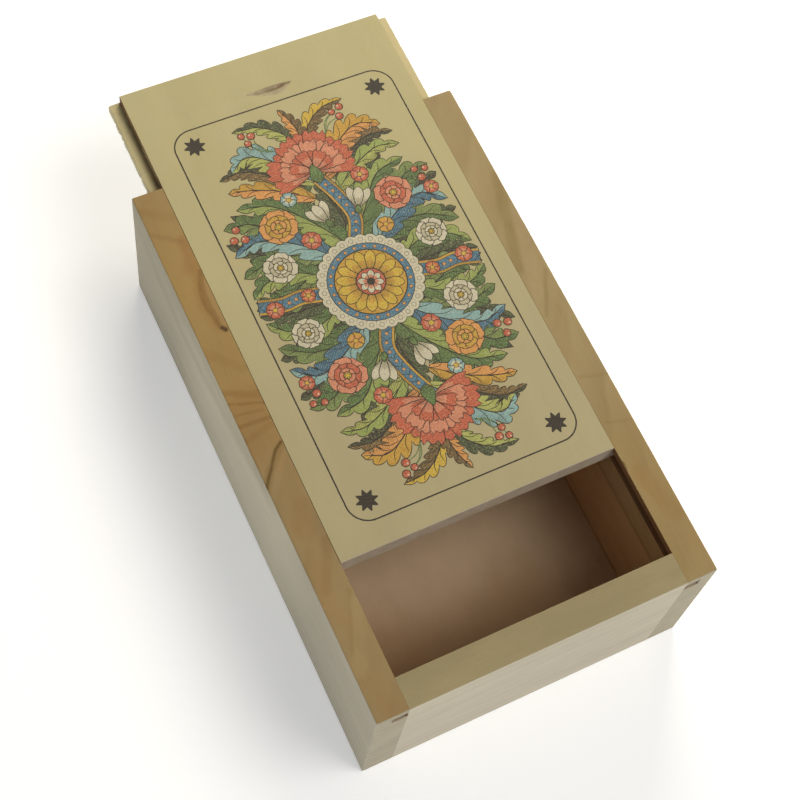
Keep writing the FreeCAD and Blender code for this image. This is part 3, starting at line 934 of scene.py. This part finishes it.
def composeLeaves():
    # deep leaves behind everything, where the middle is densest
    fronds(("shade", "pine"), 0.95,
           (3.4, 6, 8 + 1j, 16 + 1j, 22 + 0.6j, 28.2 - 1.2j),
           (3.6, 7, -9 + 8j, -15 + 12j, -22 + 17j, -28 + 22j),
           (3.8, 7, 6 + 9j, 15 + 15j, 22 + 20j, 28 + 22j),
           (3.6, 7, 7 + 6j, 15 + 10j, 22 + 11j, 28.2 + 11j),
           (3.6, 7, -9 + 2j, -16 + 4j, -22 + 3j, -28.2 + 3j),
           (3.8, 7, -4 + 10j, -9 + 20j, -10 + 27j, -13 + 34j),
           (3.8, 7, 5 + 10j, 11 + 19j, 13 + 27j, 17 + 33j),
           (3.6, 7, 12j, 1 + 19j, 26j, 32j),
           (3.6, 7, -6 + 10j, -13 + 17j, -18 + 23j, -24 + 29j))
    # undergrowth that closes the middle
    fronds(("green", "moss"), 0.95,
           (4.6, 6, 6 - 4j, 14 - 6j, 21 - 3j, 27.6 - 5j),
           (4.6, 6, -4 + 9j, -13 + 13j, -20 + 14j, -27.6 + 12j),
           (4.8, 6, 5 + 8j, 13 + 12j, 20 + 12j, 27.6 + 8j),
           (4.2, 6, -2 + 10j, -6 + 18j, -7 + 25j, -2 + 32j),
           (4.2, 6, 4 + 10j, 9 + 18j, 8 + 26j, 3 + 32j))
    fronds(("green", "moss"), 0.9,
           (4.2, 6, 4 + 10j, 14 + 18j, 20 + 24j, 27 + 25j),
           (4.2, 6, -4 + 10j, -14 + 18j, -20 + 25j, -27 + 26j))
    ribbon([12 - 1.2j, 17 - 2.4j, 22 - 2.2j, 27.6 - 3.6j], 4.2, 7)
    # scrolls
    fronds(("blue", "sky"), 0.6,
           (3.9, 6, 2 + 6j, 12 + 14j, 21 + 18j, 27.4 + 14j),
           (3.9, 6, -2 + 6j, -11 + 15j, -20 + 20j, -27.4 + 18j))
    fronds(("green", "leaf"), 0.6,
           (3.4, 5, 9 + 3j, 16 + 6j, 23 + 5j, 27.6 + 1j),
           (3.4, 5, -9 + 5j, -16 + 9j, -23 + 9j, -27.6 + 6j),
           (4.2, 6, 10j, 8 + 20j, 14 + 27j, 22 + 29j),
           (4.2, 6, 10j, -7 + 21j, -14 + 28j, -22 + 30j))
    # the ends
    fronds(("umber", "yellow"), 0.5, (2.7, 6, 1 + 41j, 4 + 46j, 9 + 49.6j, 15 + 50.4j))
    fronds(("pine", "lime"), 0.5, (2.7, 6, -1 + 41j, -3 + 46j, -8 + 50j, -14.5 + 50.8j))
    fronds(("umber", "orange"), 0.5, (2.3, 5, 41j, 0.8 + 45j, 0.2 + 49j, -1.4 + 53j))
    fronds(("shade", "umber"), 0.6,
           (2.6, 6, 4 + 30j, 12 + 36j, 17 + 38j, 23 + 37j),
           (2.6, 6, -4 + 30j, -12 + 37j, -17 + 39.5j, -22.6 + 39j))
    fronds(("orange", "gold"), 0.35, (4.0, 7, 1 + 30j, 8 + 38j, 15 + 42j, 21 + 40j))
    fronds(("sky", "lime"), 0.35, (4.0, 7, -1 + 30j, -8 + 39j, -14 + 43j, -19 + 40j))
    fronds(("lime", "leaf"), 0.45, (2.8, 5, 3 + 26j, 10 + 31j, 17 + 34j, 23 + 33j))
    fronds(("gold", "orange"), 0.35, (2.8, 5, -3 + 26j, -10 + 31j, -17 + 34j, -22 + 35j))


def composeFlowers():
    ribbon([1.5 + 12j, 3.8 + 18j, 2.4 + 25j, 31j], 3.8, 8)
    tulip(5.6 + 19.5j, 66, 6.6, ("white", "paper"))
    tulip(-2.6 + 18.5j, 108, 6.6, ("white", "paper"))
    carnation(33.5j, 90, 11.5, ("red", "rose"))
    rose(15.5 + 20.5j, 5.2, ("rose", "red"), 7, 10)
    rose(-14.5 + 22j, 5.2, ("orange", "gold"), 7, 30)
    rose(19.5 + 7j, 4.3, ("white", "paper"), 8, 0)
    rose(-18.5 + 11.5j, 4.6, ("white", "paper"), 8, 20)
    smallFlower(10 + 28.3j, 2.4, ("red", "rose"), 90)
    smallFlower(-8.6 + 15.6j, 2.6, ("red", "rose"), 70)
    smallFlower(-9.2 + 28j, 2.2, ("sky", "white"), 10)
    smallFlower(10 + 13j, 2.3, ("gold", "orange"), 20)
    smallFlower(-24.2 + 1.6j, 2.3, ("red", "rose"), 40)
    smallFlower(-15.4 + 2.2j, 1.9, ("red", "orange"), 0)
    smallFlower(25 + 18.6j, 2.0, ("red", "rose"), 55)
    berries(20 + 19j, 24 + 21.8j, 25.8 + 24j, 23.2 + 24.6j)
    berries(-20 + 22j, -24.3 + 25j, -25.8 + 22.4j, -23.2 + 21.8j)
    berries(7 + 42j, 11 + 47.5j, 13.4 + 48.3j, 12.4 + 45.7j)
    berries(-7 + 42j, -10.5 + 48.3j, -12.8 + 49j, -12 + 46.5j)


def composeMedallion():
    # a lace frill, a blue ring with beads, then gold, red and white to the middle
    lace(9.4, 13.2, 30)
    disc(0, 10.6, "blue", twin=False, count=60)
    beads = [roundOf(place, 0.42, 12) for place in roundOf(0, 9.7, 24)]
    rims = [quad for bead in beads for quad in penLoop(bead, hair)]
    stamp(("orange", beads), ("black", rims), twin=False)
    disc(0, 8.8, "gold", bold, twin=False, count=60)
    ringOfPetals(0, 8.5, 16, ("yellow", "gold"), 0, inner=2.4, fill=0.95, twin=False)
    disc(0, 3.6, "red", bold, twin=False, count=36)
    ringOfPetals(0, 3.2, 8, ("white", "rose"), 22.5, fill=0.8, twin=False)
    disc(0, 0.9, "black", twin=False)


def star(centre, radius):
    # Eight short blunt points about a broad middle.
    outline = [centre + cmath.rect(radius * reach, math.radians(45 * index + turn)) for index in range(8)
               for turn, reach in ((-3, 1.0), (3, 1.0), (22.5, 0.62))]
    stamp(("black", [outline]))


def border():
    # A thin line with round corners about the whole card.
    width, height, corner = card["width"] / 2, card["height"] / 2, card["corner"]
    outline = []
    for x, y, start in ((1, 1, 0), (-1, 1, 90), (-1, -1, 180), (1, -1, 270)):
        centre = complex(x * (width - corner), y * (height - corner))
        outline += arcOf(centre, corner, start, start + 90, 13)
    stamp(("black", penLoop(outline, card["line"])), twin=False)


def printInk(name, colour, bareShare):
    # Screen-printed ink on sanded wood: matt, thin, and broken by specks where the wood shows through.
    # The specks are drawn at 0.4 mm, coarser than real, so that they show.
    material, tree, shader = newMaterial(name)
    place = addNode(tree, "VectorMath", (
        addNode(tree, "TexCoord").outputs["Object"], (1 / mm, 1 / mm, 0)), operation="MULTIPLY")
    specks = addNode(tree, "TexNoise", {"Vector": place, "Scale": 2.4, "Detail": 3.0, "Roughness": 0.6})
    cloud = addNode(tree, "TexNoise", {"Vector": place, "Scale": 0.3, "Detail": 2.0})
    bare = addNode(tree, "MapRange", (specks, 0.46, 0.72, 0.0, bareShare))
    mixed = addNode(tree, "Mix", {0: bare, 6: hexColour(colour), 7: hexColour(lidLook["early"])},
                    data_type="RGBA")
    uneven = addNode(tree, "MapRange", (cloud, 0.3, 0.7, 0.92, 1.06))
    full = addNode(tree, "MapRange", (specks, 0.36, 0.6, 0.75, 1.08))
    shade = addNode(tree, "Math", (uneven, full), operation="MULTIPLY")
    tone = addNode(tree, "VectorMath", {0: mixed, "Scale": shade}, operation="SCALE")
    fillInputs(tree, shader, {"Base Color": tone, "Roughness": 0.6, "IOR": 1.5, "Specular IOR Level": 0.3})
    return material


def makePrint():
    # One flat sheet per ink. Where motifs overlap, the later one lies a hair higher.
    border()
    for place in card["markPlaces"]:
        star(place, card["markSize"])
    composeLeaves()
    composeFlowers()
    composeMedallion()
    middle = Vector((*card["middle"], lidHigh.z + card["lift"]))
    for ink, faces in printed["faces"].items():
        points, corners = [], []
        for outline, level in faces:
            flat = [Vector((point.real, point.imag, 0)) for point in outline]
            if sum(a.x * b.y - b.x * a.y for a, b in zip(flat, flat[1:] + flat[:1])) < 0:
                flat.reverse()
            first = len(points)
            points += [(middle + point + Vector((0, 0, level * card["step"]))) * mm for point in flat]
            pieces = [range(4)] if len(flat) == 4 else geometry.tessellate_polygon([flat])
            corners += [[first + corner for corner in piece] for piece in pieces]
        mesh = bpy.data.meshes.new("lidPrint" + ink.capitalize())
        mesh.from_pydata(points, [], corners)
        bareShare = card["bareBlack"] if ink == "black" else card["bare"]
        material = printInk("screenInk" + ink.capitalize(), card["inks"][ink], bareShare)
        addPiece(mesh.name, mesh, [material], "lid")


makePrint()
print("print: inks on the lid")


studio = {
    "floorSize": 3.0, "floorColour": "#EDF0F4", "white": "#FFFFFF", "cameraGlow": 0.35, "world": 0.15,
    "lamps": [  # name, place in metres, where it points, width and height, watts, colour
        ("keyLight", (0.42, -0.42, 1.00), (0, 0, 0), (0.60, 0.60), 6.4, "#FFF8EE"),
        ("backLight", (0.22, 0.40, 0.42), (0, 0, 0), (0.30, 0.30), 2.3, "#FFF4E0"),
        ("leftCard", (-0.50, -0.15, 0.022), (0, -0.02, 0.022), (0.60, 0.05), 1.05, "#F4F7FF"),
        ("frontCard", (-0.05, -0.70, 0.022), (0, 0, 0.022), (0.60, 0.05), 1.75, "#F4F7FF"),
    ],
}


def directRays(tree):
    # 1 for rays that come straight from the camera, or by way of a gloss or a glass, and 0 for others.
    rays = addNode(tree, "LightPath").outputs
    seen = rays["Is Camera Ray"]
    for other in ("Is Glossy Ray", "Is Transmission Ray"):
        seen = addNode(tree, "Math", (seen, rays[other]), operation="MAXIMUM")
    return seen


def makeFloor():
    half = studio["floorSize"] / 2
    mesh = bpy.data.meshes.new("studioFloor")
    mesh.from_pydata([(x * half, y * half, 0) for y in (-1, 1) for x in (-1, 1)], [], [(0, 1, 3, 2)])
    floor = addObject("studioFloor", mesh)
    # matt paper that glows a little for the camera alone, so that it stays pale
    material, tree, shader = newMaterial("paperSweep")
    glow = addNode(tree, "Math", (directRays(tree), studio["cameraGlow"]), operation="MULTIPLY")
    fillInputs(tree, shader, {
        "Base Color": hexColour(studio["floorColour"]), "Roughness": 0.9,
        "Emission Color": hexColour(studio["white"]), "Emission Strength": glow})
    mesh.materials.append(material)


def makeLights():
    world = bpy.data.worlds.new("studioWorld")
    world.use_nodes = True
    bpy.context.scene.world = world
    tree = world.node_tree
    tree.nodes.clear()
    # the camera sees a white backdrop, and the object is lit by a dimmer one
    white = hexColour(studio["white"])
    lighting = addNode(tree, "Background", (white, studio["world"]))
    backdrop = addNode(tree, "Background", (white, 1.0))
    mix = addNode(tree, "MixShader", (directRays(tree), lighting, backdrop))
    addNode(tree, "OutputWorld", {"Surface": mix.outputs[0]})
    for name, place, target, (width, height), power, colour in studio["lamps"]:
        lamp = addObject(name, bpy.data.lights.new(name, "AREA"))
        lamp.data.energy = power
        lamp.data.shape, lamp.data.size, lamp.data.size_y = "RECTANGLE", width, height
        lamp.data.color = hexColour(colour)[:3]
        lamp.location = place
        lamp.rotation_euler = (Vector(target) - Vector(place)).to_track_quat("-Z", "Y").to_euler()


def makeCamera():
    # Read off the box's own edges: place in metres, turn in degrees, and the shift that its frame needs.
    view = {"place": (-0.1089, -0.1424, 0.4207), "turn": (26.32, -7.53, -26.44),
            "lens": 79.77, "shift": (-0.1031, -0.0766)}
    camera = addObject("camera", bpy.data.cameras.new("camera"))
    camera.location = view["place"]
    camera.rotation_euler = [math.radians(angle) for angle in view["turn"]]
    camera.data.lens = view["lens"]
    camera.data.shift_x, camera.data.shift_y = view["shift"]
    camera.data.clip_start = 0.01
    bpy.context.scene.camera = camera


makeFloor()
makeLights()
makeCamera()
bpy.context.scene.view_settings.view_transform = "Standard"
print("studio: floor, lamps and camera")
